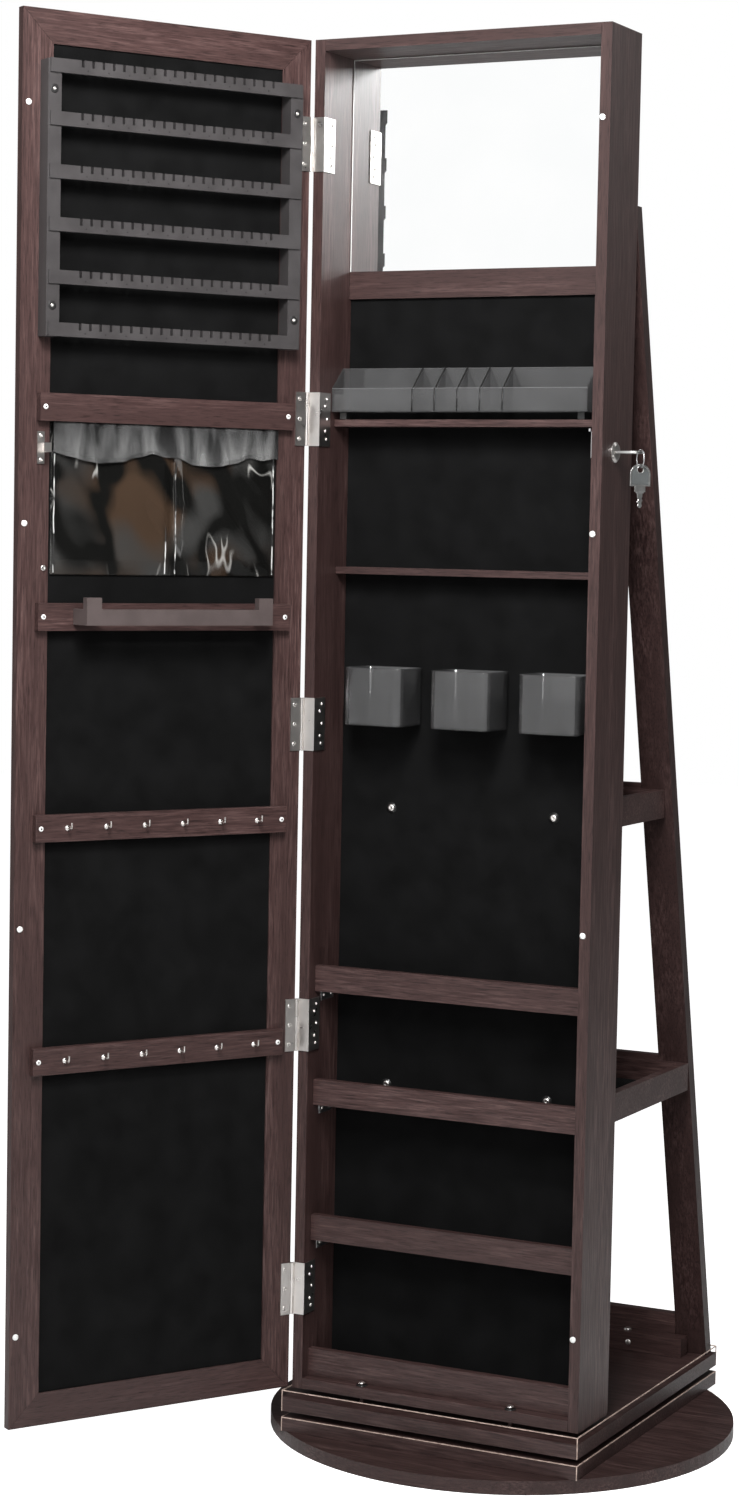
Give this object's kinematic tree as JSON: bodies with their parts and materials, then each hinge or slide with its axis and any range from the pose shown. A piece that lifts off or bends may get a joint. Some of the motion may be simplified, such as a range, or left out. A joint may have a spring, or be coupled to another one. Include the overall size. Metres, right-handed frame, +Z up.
{
  "type": "jewelry armoire",
  "caption": "Tall narrow mirrored jewelry cabinet on a swivel base, with a hinged organiser door, felt-lined bays, lipped shelves, a key lock and a raked rear rack with trays.",
  "frame": {"origin": "centre of the round base disc's underside, on the floor and on the turntable's axis", "axes": "+X towards the lock side, +Y towards the rear rack, -Y out of the cabinet's open front, +Z up"},
  "size_m": [0.619, 0.7445, 1.53],
  "materials": {
    "wood": "espresso-stained grain, satin",
    "board_wood": "espresso foil over board, satin",
    "felt": "black felt over thin board",
    "nickel": "nickel plate",
    "steel": "zinc-plated steel",
    "mirror_glass": "polished mirror",
    "smoked_plastic": "smoke-grey translucent moulding",
    "rack_plastic": "brown-grey moulded plastic",
    "clear_vinyl": "clear flexible vinyl",
    "key_plastic": "nickel-rimmed key with a grey head"
  },
  "bodies": {
    "base": {"base_disc": "board_wood", "lower_board": "board_wood", "bearing_lower_plate": "steel"},
    "ball_ring": {"bearing_ball_ring": "steel"},
    "cabinet": {"upper_board": "board_wood", "bearing_upper_plate": "steel", "left_panel": "wood", "right_panel": "wood", "top_panel": "wood", "bottom_panel": "wood", "back_panel": "wood", "mirror_rail": "wood", "small_shelf_upper": "wood", "small_shelf_lower": "wood", "lip_shelf_1": "wood", "lip_shelf_2": "wood", "lip_shelf_3": "wood", "bottom_lip": "wood", "rear_leg_left": "wood", "rear_leg_right": "wood", "rear_tray_upper": "wood", "rear_tray_lower": "wood", "rear_rail_upper": "wood", "rear_rail_lower": "wood", "rear_rail_foot": "wood", "interior_mirror": "mirror_glass", "lock_body": "nickel", "hinge_1_cabinet_leaf": "nickel", "hinge_2_cabinet_leaf": "nickel", "hinge_3_cabinet_leaf": "nickel", "hinge_4_cabinet_leaf": "nickel", "hinge_5_cabinet_leaf": "nickel"},
    "door": {"door_stile_hinge": "wood", "door_stile_free": "wood", "door_rail_top": "wood", "door_rail_bottom": "wood", "door_panel": "felt", "door_mirror": "mirror_glass", "strike": "nickel", "earring_rack": "rack_plastic", "pouch_rail": "wood", "pouch": "clear_vinyl", "bracelet_rail": "wood", "bracelet_bar": "rack_plastic", "hook_rail_upper": "wood", "hook_rail_lower": "wood", "hinge_1_door_leaf": "nickel", "hinge_2_door_leaf": "nickel", "hinge_3_door_leaf": "nickel", "hinge_4_door_leaf": "nickel", "hinge_5_door_leaf": "nickel"},
    "lock_plug": {"lock_plug": "nickel", "lock_cam": "steel"},
    "key": {"key": "key_plastic"},
    "key_ring": {"key_ring": "steel"},
    "spare_key": {"spare_key": "key_plastic"},
    "cosmetic_tray": {"cosmetic_tray": "smoked_plastic"},
    "bin_left": {"bin_left": "smoked_plastic"},
    "bin_middle": {"bin_middle": "smoked_plastic"},
    "bin_right": {"bin_right": "smoked_plastic"}
  },
  "joints": [
    {"name": "turntable", "type": "hinge", "parent": "base", "child": "cabinet", "pos_m": [0, 0, 0.035], "axis": [0, 0, 1], "continuous": true},
    {"name": "ball_ring_turn", "type": "hinge", "parent": "base", "child": "ball_ring", "pos_m": [0, 0, 0.035], "axis": [0, 0, 1], "continuous": true},
    {"name": "door_hinge", "type": "hinge", "parent": "cabinet", "child": "door", "pos_m": [-0.1722, -0.1892, 0.796], "axis": [0, 0, 1], "range_deg": [-45, 121]},
    {"name": "lock_turn", "type": "hinge", "parent": "cabinet", "child": "lock_plug", "pos_m": [0.16, -0.1515, 1.0933], "axis": [1, 0, 0], "range_deg": [0, 90]},
    {"name": "key_pull", "type": "slide", "parent": "lock_plug", "child": "key", "axis": [1, 0, 0], "range_m": [0, 0.015]},
    {"name": "key_ring_swing", "type": "hinge", "parent": "key", "child": "key_ring", "pos_m": [0.20158, -0.15568, 1.0867], "axis": [0.7071, 0.7071, 0], "range_deg": [-30, 30]},
    {"name": "spare_key_swing", "type": "hinge", "parent": "key_ring", "child": "spare_key", "pos_m": [0.20158, -0.15568, 1.0774], "axis": [0.7071, -0.7071, 0], "range_deg": [-20, 20]},
    {"name": "cosmetic_tray_lift", "type": "slide", "parent": "cabinet", "child": "cosmetic_tray", "axis": [0, 0, 1], "range_m": [0, 0.06]},
    {"name": "bin_left_lift", "type": "slide", "parent": "cabinet", "child": "bin_left", "axis": [0, 0, 1], "range_m": [0, 0.04]},
    {"name": "bin_middle_lift", "type": "slide", "parent": "cabinet", "child": "bin_middle", "axis": [0, 0, 1], "range_m": [0, 0.04]},
    {"name": "bin_right_lift", "type": "slide", "parent": "cabinet", "child": "bin_right", "axis": [0, 0, 1], "range_m": [0, 0.04]}
  ],
  "couplings": [
    {"joint": "ball_ring_turn", "follows": "turntable", "ratio": 0.5}
  ]
}
